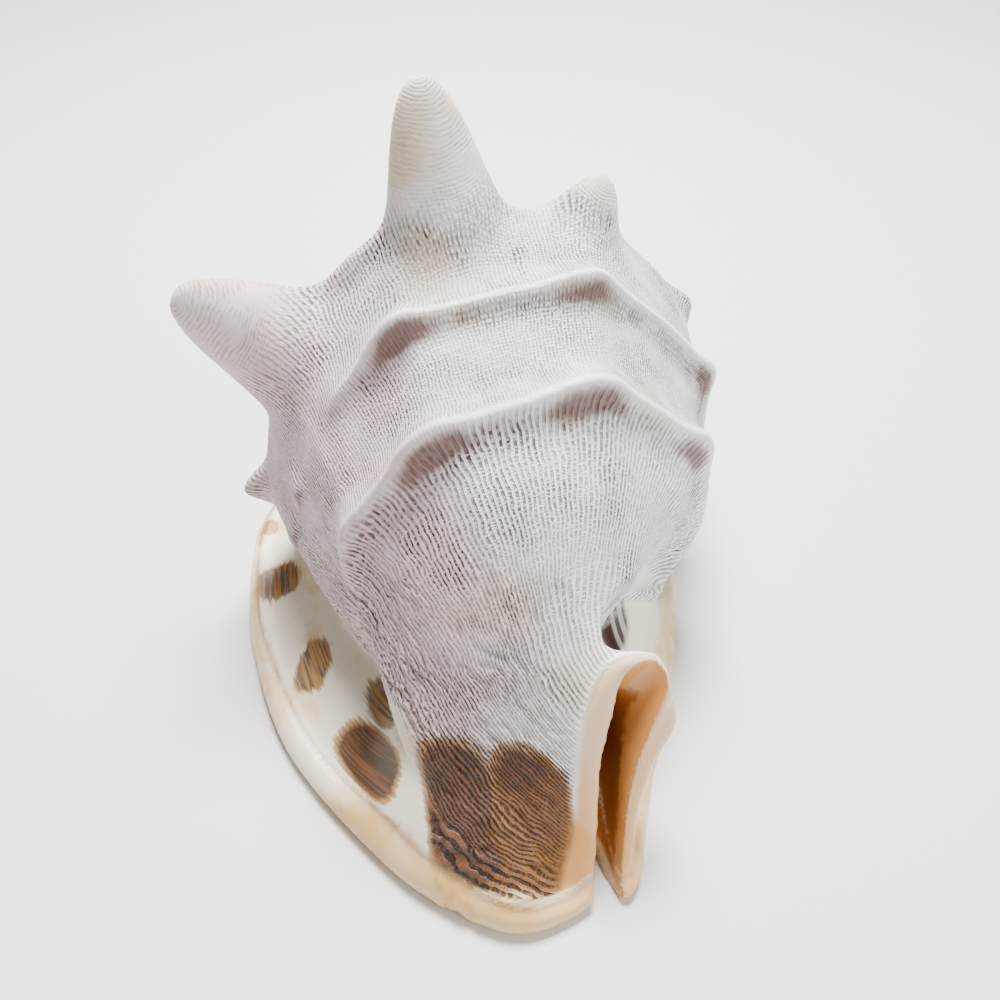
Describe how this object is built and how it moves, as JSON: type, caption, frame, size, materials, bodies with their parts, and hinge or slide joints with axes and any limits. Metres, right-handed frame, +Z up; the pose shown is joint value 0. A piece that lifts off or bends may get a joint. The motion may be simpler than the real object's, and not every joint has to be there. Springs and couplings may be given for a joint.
{
  "type": "horned helmet shell",
  "caption": "Large heavy sea shell with blunt horns on its shoulder, knobbed ridges, a broad lip, a turned-up canal and a toothed slit below.",
  "frame": {"origin": "centre of the bounding box's bottom face, on the surface that the shell rests on", "axes": "+Y along the shell from its canal to its spire, +Z up away from the aperture, +X towards the shield's side"},
  "size_m": [0.186, 0.223, 0.1806],
  "materials": {
    "shell": "chalky white weave of fine growth lines, with mauve-grey, brown patches and glossy peach lips"
  },
  "bodies": {
    "root": {"shell": "shell"}
  },
  "joints": []
}
